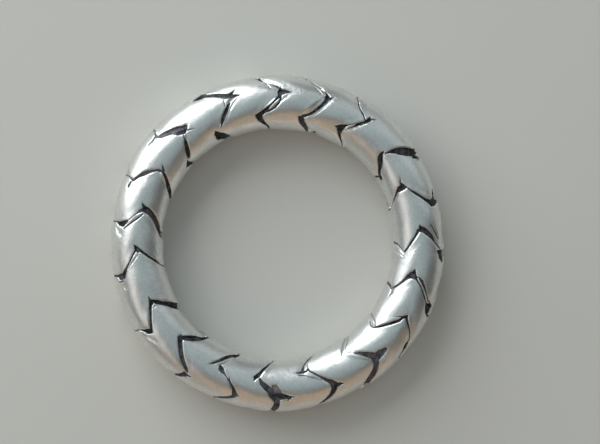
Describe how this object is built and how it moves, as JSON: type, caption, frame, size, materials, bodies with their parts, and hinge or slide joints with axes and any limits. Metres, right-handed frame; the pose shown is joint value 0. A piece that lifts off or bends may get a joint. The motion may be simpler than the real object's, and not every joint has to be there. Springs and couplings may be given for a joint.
{
  "type": "finger ring",
  "caption": "Round-wire silver finger ring, cut all round with darkened zigzag grooves that leave pointed overlapping scales.",
  "frame": {"origin": "middle of the finger hole, on the surface that the ring lies on", "axes": "+Z along the ring's axis, up from the surface; +X and +Y across the ring; the pictured face is up, and +Y is up in the picture"},
  "size_m": [0.0274, 0.0276, 0.0044],
  "materials": {
    "silver": "satin silver, darkened in the grooves"
  },
  "bodies": {
    "root": {"scale_band": "silver"}
  },
  "joints": []
}
